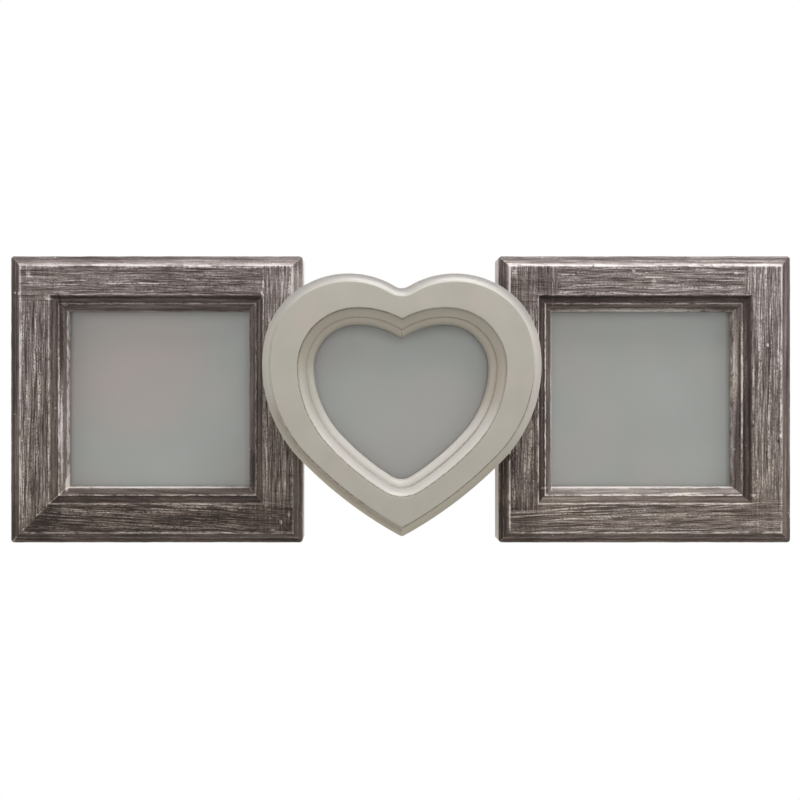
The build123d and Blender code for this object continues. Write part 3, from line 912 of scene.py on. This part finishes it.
# %% Heart sizes
# The band is the board's nominal width from outline to window. Rows that lie further in than the
# anchors are drawn straight from one loop to the other.
HEART_BACK = MOULDING_THICKNESS
HEART_THICKNESS = 16.0
HEART_BAND = 27.0
HEART_RIM = 0.4
HEART_COVE = (4.1, 3.0)
HEART_INNER_COVE = (4.8, 3.5)
HEART_OVOLO_RADIUS = 3.7
OUTER_ANCHOR = 6.0
WINDOW_ANCHOR = 10.5
HEART_FRONT_FROM = 5.0
HEART_FRONT_SPACING = 0.8
HEART_BACK_SPACING = 4.0
HEART_COLUMNS = 260
ARC_POINTS = 400

HEART_RIDGE = HEART_RIM + HEART_COVE[0]
HEART_STEP_AT = HEART_BAND - HEART_OVOLO_RADIUS
HEART_INNER_RIDGE = HEART_STEP_AT - HEART_INNER_COVE[0]
print("the heart's flat face is", round(HEART_INNER_RIDGE - HEART_RIDGE, 2), "mm wide")


# %% Offset loops
def arc_chain(centre, arcs):
    """Arcs as (centre, radius, from angle, to angle), each starting where the last one ends."""
    chain = []
    for index, (radius, first, last) in enumerate(arcs):
        if index:
            angle = math.radians(first)
            shift = arcs[index - 1][0] - radius
            centre = (centre[0] + shift * math.cos(angle), centre[1] + shift * math.sin(angle))
        chain.append((centre, radius, math.radians(first), math.radians(last)))
    return chain


def loop(chain, inwards):
    """Evenly spaced points on a closed, mirrored loop, inwards from the chain by a distance."""
    half = []
    for (centre_x, centre_z), radius, first, last in chain:
        left = radius - inwards
        if left * radius > 0:
            turns = np.linspace(first, last, ARC_POINTS)
            arc_x, arc_z = centre_x + left * np.cos(turns), centre_z + left * np.sin(turns)
            half.append(np.column_stack([arc_x, arc_z]))
    half = np.concatenate(half)
    inside = np.flatnonzero(half[:, 0] > 1e-6)
    half = half[inside[0] : inside[-1] + 1]
    half = np.vstack([[0, half[0, 1]], half, [0, half[-1, 1]]])
    lengths = np.concatenate([[0], np.cumsum(np.linalg.norm(np.diff(half, axis=0), axis=1))])
    shares = np.linspace(0, lengths[-1], HEART_COLUMNS + 1)
    half = np.column_stack([np.interp(shares, lengths, half[:, axis]) for axis in (0, 1)])
    return np.vstack([half, half[-2:0:-1] * (-1, 1)])


CROWN_CENTRE, CROWN_RADIUS = (27.711, 19.381), 46.65
NOTCH_RADIUS = 7.2
notch_reach = CROWN_RADIUS + NOTCH_RADIUS
notch_turn = math.degrees(math.acos(-CROWN_CENTRE[0] / notch_reach))
notch_top = CROWN_CENTRE[1] + notch_reach * math.sin(math.radians(notch_turn))
OUTLINE = arc_chain((0.0, notch_top), [
    (-NOTCH_RADIUS, 90, notch_turn),
    (CROWN_RADIUS, notch_turn, 61.3),
    (43.55, 61.3, 8),
    (71.5, 8, -44),
    (217, -44, -61.26),
    (2.5, -61.26, -90),
])
WINDOW = arc_chain((22.476, 1.837), [
    (37.6, 140, 86),
    (22.6, 86, -1.5),
    (52.8, -1.5, -42.5),
    (130, -42.5, -58.18),
    (9.4, -58.18, -90),
])
for name, chain in (("outline", OUTLINE), ("window", WINDOW)):
    to_side, up = loop(chain, 0).T.round(2)
    print(name, "half width", to_side.max(), "top", up.max(), "bottom", up.min())


# %% Build the heart's mesh
def heart_spacing(middle):
    return HEART_FRONT_SPACING if middle[1] > HEART_FRONT_FROM else HEART_BACK_SPACING


heart_sizes = (HEART_BAND, HEART_THICKNESS, HEART_RIM, HEART_COVE, HEART_INNER_COVE)
heart_section = divided(eased(moulded(*heart_sizes, HEART_OVOLO_RADIUS)), heart_spacing)

rows = []
anchor_loops = loop(OUTLINE, OUTER_ANCHOR), loop(WINDOW, -WINDOW_ANCHOR)
window_from = HEART_BAND - WINDOW_ANCHOR
for across, height in heart_section:
    if across <= OUTER_ANCHOR:
        ring = loop(OUTLINE, across)
    elif across >= window_from:
        ring = loop(WINDOW, across - HEART_BAND)
    else:
        share = (across - OUTER_ANCHOR) / (window_from - OUTER_ANCHOR)
        ring = anchor_loops[0] * (1 - share) + anchor_loops[1] * share
    forwards = np.full(len(ring), -HEART_BACK - height)
    rows.append(np.column_stack([ring[:, 0], forwards, ring[:, 1]]))
rows = np.array(rows)
row_count, column_count = rows.shape[:2]
rows[:, :, 2] += SQUARES["left"]["middle_z"]
index = np.arange(row_count * column_count).reshape(row_count, column_count)
next_row, next_column = np.roll(index, -1, 0), np.roll(index, -1, 1)
corner = np.roll(next_row, -1, 1)
quads = np.stack([index, next_column, corner, next_row], -1).reshape(-1, 4)

heart_mesh = bpy.data.meshes.new("heart_painted")
heart_mesh.from_pydata((rows.reshape(-1, 3) * MM).tolist(), [], quads.tolist())
across_values = np.repeat([point[0] for point in heart_section], column_count).astype(np.float32)
heart_mesh.attributes.new("across", "FLOAT", "POINT").data.foreach_set("value", across_values)
heart_mesh.shade_smooth()
heart = in_scene("heart_painted", heart_mesh)


def signed_volume(piece):
    """Above zero where the faces of a closed mesh look outwards."""
    mesh = piece.data
    mesh.calc_loop_triangles()
    triangles = np.array([triangle.vertices[:] for triangle in mesh.loop_triangles])
    points = np.array([vertex.co[:] for vertex in mesh.vertices])[triangles]
    turned = np.cross(points[:, 1], points[:, 2])
    return float(np.einsum("ij,ij->i", points[:, 0], turned).sum() / 6)


for piece in [heart, *rails]:
    if signed_volume(piece) < 0:
        piece.data.flip_normals()
    print(piece.name, "encloses", round(signed_volume(piece) * 1e6, 2), "cm3")

# %% [markdown]
# ## Cream paint
# The heart is sprayed and rubbed: smooth and satin, with faint warm clouds. Its edges tell its age.
# A brown line runs where the inner cove meets the face, and another along the outer ridge, from the
# middle down. The cove low on the left is browner. The rim and the inner mouldings carry painted
# light and shade: the rim is lighter on the right and darker on top, and the inner mouldings are
# darker above and on the right and lighter low down.


# %% The cream paint
# The creams and their coats. The rim and moulding coats are painted light and shade.
CREAM = {
    "light": colour(184, 180, 169),
    "dark": colour(174, 169, 157),
    "warm": colour(186, 174, 165),
    "right rim painted light": colour(194, 188, 179),
    "top rim painted shade": colour(170, 166, 161),
    "low rim": colour(184, 175, 156),
    "shaded mouldings": colour(158, 147, 130),
    "low mouldings painted highlight": colour(212, 207, 203),
    "handled cove": colour(122, 106, 86),
    "rubbed ridge": colour(98, 82, 62),
    "step": colour(142, 128, 112),
    "crack": colour(70, 60, 50),
    "wood": colour(166, 136, 98),
}


def coated(paint, coats):
    """A colour under coats of other creams, given as shares and names."""
    for share, name in coats:
        paint = mixed_colour(share, paint, CREAM[name])
    return paint


def cream_with_painted_light(x, z, height, across, cloud):
    """Cream with faint warm clouds and a warmer low rim, with painted light and shade: the rim lighter on
    the right and darker on top, the inner mouldings darker above and on the right and lighter low down.
    """
    warm = noise(joined(x + 40, z, height), 0.04, 1.0).fade(0.1, 0.6)
    paint = mixed_colour(cloud * 0.5 + 0.5, CREAM["light"], CREAM["dark"])
    paint = coated(paint, [(warm * 0.5, "warm")])
    # Painted light and shade on the rim: lighter where it faces right, darker on top. Low down it is
    # warmer.
    rim_paint_and_light = coated(paint, [
        (x.fade(0.0, 60.0) * z.fade(-45.0, -10.0), "right rim painted light"),
        (z.fade(28.0, 50.0), "top rim painted shade"),
        (z.fade(-8.0, -40.0) * 0.6, "low rim"),
    ])
    paint = mixed_colour(across.fade(HEART_RIDGE + 0.1, HEART_RIDGE - 0.5), paint, rim_paint_and_light)
    # Painted shade on the inner mouldings above and on the right, and a painted highlight on them low
    # down.
    inside = across > HEART_INNER_RIDGE + 0.3
    shaded = z.fade(5.0, 25.0).most(x.fade(8.0, 30.0) * z.fade(-15.0, 0.0))
    return coated(paint, [
        (inside * shaded * 0.5, "shaded mouldings"),
        (inside * z.fade(8.0, -22.0) * 0.6, "low mouldings painted highlight"),
    ])


def cream_paint():
    """Places are in millimetres, from the heart's middle line and the squares' middle height."""
    material, principled, start = shader_start("cream_paint")
    x, z, height = place_mm(start, 0.0, SQUARES["left"]["middle_z"])
    across = start.node("ShaderNodeAttribute", {"attribute_name": "across"}, {}, "Fac")
    spot = joined(x, z, height)
    cloud = noise(spot, 0.055, 2.0)
    wander = noise(spot, 0.35, 3.0)
    broken = noise(joined(x, z + 30, height), 0.5, 3.0).fade(-0.45, 0.25)
    lined = mixed(broken, 0.55, 0.95)
    place = across + wander * 0.14
    to_right = x.fade(-30.0, 30.0)

    # The cove low on the left is mixed towards brown.
    browner_low_left = place.line(3.0, 2.8) * (x < 0.0) * z.fade(4.0, -12.0) * mixed(broken, 0.35, 0.5)
    left_rub = (x < 0.0) * z.fade(8.0, -30.0) * z.fade(-66.0, -48.0) * 0.85
    right_rub = (x > 0.0) * z.fade(18.0, 0.0) * 0.8
    rubbed = broken * (left_rub + 0.05) + mixed(broken, 0.45, 1.0) * right_rub
    ridge = (place.line(HEART_RIDGE - 0.15, 0.55) * rubbed).least(1.0)
    upper_right = to_right * z.fade(-30.0, 0.0)
    inner = place.line(HEART_INNER_RIDGE + 0.2, 0.55) * lined * mixed(upper_right, 1.0, 0.5)
    step = place.line(HEART_STEP_AT - 0.05, 0.75) * lined * mixed(to_right, 0.55, 0.9)
    crack = abs(x + wander * 0.25).line(0.0, 0.2) * z.fade(31.0, 32.0) * z.fade(37.0, 34.0)
    speck = drops(spot, 9.0, 0.42, 0.3)

    paint = coated(cream_with_painted_light(x, z, height, across, cloud), [
        (browner_low_left, "handled cove"),
        (ridge.most(inner * 0.85), "rubbed ridge"),
        (step, "step"),
        (crack.most(speck * 0.5), "crack"),
    ])
    rebate_level = HEART_BACK + REBATE_DEPTH
    in_rebate = height.fade(rebate_level + 0.3, rebate_level)
    in_rebate = in_rebate * (across > HEART_BAND - REBATE_LIP - 0.2)
    bare = height.fade(HEART_BACK + 0.5, HEART_BACK + 0.2).most(in_rebate)
    relief = noise(spot, 0.9, 2.0) * 0.012 + wander * 0.02
    feed(principled, {
        "Base Color": mixed_colour(bare, paint, CREAM["wood"]),
        "Roughness": 0.42 + cloud * 0.04 + ridge * 0.2,
        "Specular IOR Level": 0.4,
        "Normal": bump(relief - (ridge + inner * 0.5) * 0.05 - crack * 0.1),
    })
    return material


heart.data.materials.append(cream_paint())
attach(heart, "frame")
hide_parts("heart_frame")
print("heart triangles", count_triangles(heart))

# %% [markdown]
# ## Glass, paper, board and metal
# These pieces stay as the CAD model has them. Picture glass is nearly invisible from the front, so
# it lets shadow rays straight through and lights the paper behind it. The paper is a plain grey
# insert, not printed, and a little uneven in tone where it was rolled. Its pink clouds and the pink
# blotch on the left insert are a painted reflection. Hardboard backs it. The metal is thin
# nickel-plated strip and wire, duller where it was stamped.


# %% Materials for the plain pieces
def end_in_mix(material, principled, share, other):
    """Ends a material in a mix of its Principled shader and another one."""
    surface = Wire(material.node_tree, principled.outputs[0])
    both = share.node("ShaderNodeMixShader", {}, [share, surface, other])
    way_out = material.node_tree.nodes["Material Output"]
    material.node_tree.links.new(both.socket, way_out.inputs["Surface"])


def clear_glass():
    material, principled, start = shader_start("clear_glass")
    feed(principled, {
        "Base Color": (1, 1, 1, 1),
        "Roughness": 0.0,
        "IOR": 1.45,
        "Transmission Weight": 1.0,
        "Specular IOR Level": 0.25,
    })
    clear = start.node("ShaderNodeBsdfTransparent", {}, {"Color": (0.97, 0.98, 0.98, 1)})
    shadow = start.node("ShaderNodeLightPath", {}, {}, "Is Shadow Ray")
    onwards = shadow.most(shadow.other("Is Diffuse Ray"))
    end_in_mix(material, principled, onwards, clear)
    return material


# A painted reflection: the pink blotch on the left insert, its place and its half sizes.
PINK_REFLECTION_SPOT = (-148, 14, 42, 38)


def grey_paper():
    material, principled, start = shader_start("grey_paper")
    x, z, height = place_mm(start, 0.0, SQUARES["left"]["middle_z"])
    spot = joined(x, z, height)
    cloud = noise(spot, 0.022, 1.0)
    # The pink clouds and the pink blotch below are a painted reflection on the paper.
    warm = noise(joined(x + 70, z + 13, height), 0.02, 1.0).fade(-0.2, 0.5)
    paper = mixed_colour(cloud * 0.5 + 0.5, colour(167, 168, 164), colour(156, 158, 153))
    paper = mixed_colour(warm * 0.6, paper, colour(168, 161, 157))
    painted_reflection = (oval(x, z, *PINK_REFLECTION_SPOT) + cloud * 0.6).fade(1.6, 0.1)
    paper = mixed_colour(painted_reflection * 0.8, paper, colour(172, 160, 155))
    feed(principled, {"Base Color": paper, "Roughness": 0.85, "Specular IOR Level": 0.2})
    return material


def hardboard():
    material, principled, start = shader_start("hardboard")
    x, z, height = place_mm(start)
    fibre = noise(joined(x / 2.2, z / 2.2, height), 1.0, 4.0, 0.7)
    cloud = noise(joined(x / 25, z / 25, height), 1.0, 2.0)
    share = (fibre * 0.3 + cloud * 0.3 + 0.5).fade(0.0, 1.0)
    board = mixed_colour(share, colour(112, 76, 48), colour(146, 106, 70))
    feed(principled, {"Base Color": board, "Roughness": 0.6, "Normal": bump(fibre * 0.02)})
    return material


def metal(name, tint, dull, roughness, wear):
    material, principled, start = shader_start(name)
    x, z, height = place_mm(start)
    cloud = noise(joined(x / 3, z / 3, height / 3), 1.0, 3.0)
    tinted = mixed_colour((cloud * wear + wear).fade(0.0, 1.0), tint, dull)
    feed(principled, {"Base Color": tinted, "Metallic": 1.0, "Roughness": cloud * 0.06 + roughness})
    return material


LOOKS = {
    "clear_glass": clear_glass(),
    "grey_paper": grey_paper(),
    "hardboard": hardboard(),
    "nail_steel": metal("nail_steel", colour(176, 176, 178), colour(120, 112, 104), 0.45, 0.5),
    "plated_steel": metal("plated_steel", colour(206, 203, 196), colour(150, 142, 130), 0.32, 0.35),
}
PAPER_GAP = 0.1


def thinned(node):
    """A copy of a CAD sheet with its front a little further back: air behind the glass."""
    sheet = in_scene(f"{node}_sheet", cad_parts[node].data.copy())
    front = min(vertex.co.y for vertex in sheet.data.vertices)
    for vertex in sheet.data.vertices:
        if vertex.co.y < front + PAPER_GAP * MM:
            vertex.co.y = front + PAPER_GAP * MM
    sheet.data.materials[0] = LOOKS["grey_paper"]
    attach(sheet, "frame")
    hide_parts(node)


for place in ("left", "right", "heart"):
    thinned(f"{place}_photo_insert")

dressed = {slot: 0 for slot in LOOKS}
for node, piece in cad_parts.items():
    for place in piece.material_slots:
        slot = next((slot for slot in LOOKS if place.material.name.startswith(slot)), None)
        if slot:
            place.material = LOOKS[slot]
            dressed[slot] += 1
print("dressed", dressed)

# %% [markdown]
# ## Studio
# A product photographer lights such a piece with soft lamps in a white room, on white: one above,
# by far the strongest, that gives the mouldings their shade, and weak ones in front, at the sides
# and below, so that no cove goes black. A lamp's share is how light it alone makes a white surface
# that faces it. The camera stands half a metre away, almost level with the middle and a little to
# its left, so it sees the side that each square turns to the heart. The room looks white, but gives
# less light than it shows, which keeps the shade too.

# %% Camera, lamps, room and floor
scene = bpy.context.scene
eye = bpy.data.cameras.new("camera")
eye.lens = 41.96
eye.sensor_width = 36.0
eye.shift_x = 0.0479
eye.shift_y = -0.0124
camera = in_scene("camera", eye)
camera.location = (-0.021, -0.516, -0.063)
camera.rotation_euler = (math.pi / 2, 0, 0)
scene.camera = camera

ROOM_LIGHT = 0.49
MIRRORED_LIGHT = 0.3
LAMPS = {
    "overhead": {"towards": (0.22, -0.15, 0.96), "away": 0.6, "size": 0.4, "share": 1.12},
    "front": {"towards": (0.12, -0.84, 0.52), "away": 0.65, "size": 0.4, "share": 0.13},
    "right": {"towards": (0.93, -0.35, 0.1), "away": 0.9, "size": 0.5, "share": 0.17},
    "left": {"towards": (-0.93, -0.35, 0.1), "away": 0.9, "size": 0.5, "share": 0.22},
    "below": {"towards": (0.0, -0.35, -0.93), "away": 0.9, "size": 0.5, "share": 0.15},
}
middle = Vector((0, -0.02, SQUARES["left"]["middle_z"] * MM))
for name, setting in LAMPS.items():
    towards = Vector(setting["towards"]).normalized()
    lamp_data = bpy.data.lights.new(name, "AREA")
    lamp_data.shape = "DISK"
    lamp_data.size = setting["size"]
    lamp_data.energy = setting["share"] * math.pi**2 * setting["away"] ** 2
    lamp = in_scene(name, lamp_data)
    lamp.location = middle + towards * setting["away"]
    lamp.rotation_euler = towards.to_track_quat("Z", "Y").to_euler()

world = bpy.data.worlds.new("room")
scene.world = world
world.use_nodes = True
world.node_tree.nodes.clear()
air = Wire(world.node_tree)
camera_ray = air.node("ShaderNodeLightPath", {}, {}, "Is Camera Ray")
white = camera_ray.most(camera_ray.other("Is Transmission Ray"))
level = mixed(white.most(camera_ray.other("Is Glossy Ray") * MIRRORED_LIGHT), ROOM_LIGHT, 1.0)
room = air.node("ShaderNodeBackground", {}, {"Color": (1, 1, 1, 1), "Strength": level})
room_out = world.node_tree.nodes.new("ShaderNodeOutputWorld")
world.node_tree.links.new(room.socket, room_out.inputs["Surface"])

FLOOR_LEVEL = -0.55
FLOOR_REACH = 3
floor_mesh = bpy.data.meshes.new("floor")
around = ((-1, -1), (1, -1), (1, 1), (-1, 1))
floor_corners = [(x * FLOOR_REACH, y * FLOOR_REACH, FLOOR_LEVEL) for x, y in around]
floor_mesh.from_pydata(floor_corners, [], [(0, 1, 2, 3)])
floor = in_scene("floor", floor_mesh)
material, principled, start = shader_start("floor")
feed(principled, {"Base Color": (0.8, 0.8, 0.8, 1), "Roughness": 0.9, "Specular IOR Level": 0.0})
glow = start.node("ShaderNodeEmission", {}, {"Color": (1, 1, 1, 1), "Strength": 1.0})
seen = start.node("ShaderNodeLightPath", {}, {}, "Is Camera Ray")
end_in_mix(material, principled, seen, glow)
floor_mesh.materials.append(material)
floor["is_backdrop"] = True

scene.view_settings.view_transform = "Standard"
print("camera", tuple(round(value, 3) for value in camera.location), "lamps", list(LAMPS))

# %% Keep both sizes and finish
seen_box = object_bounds()
sizes = {"cad": [list(corner) for corner in cad_box], "seen": [list(corner) for corner in seen_box]}
for name, (low, high) in sizes.items():
    print(name, [round(value / MM, 2) for value in low], [round(value / MM, 2) for value in high])
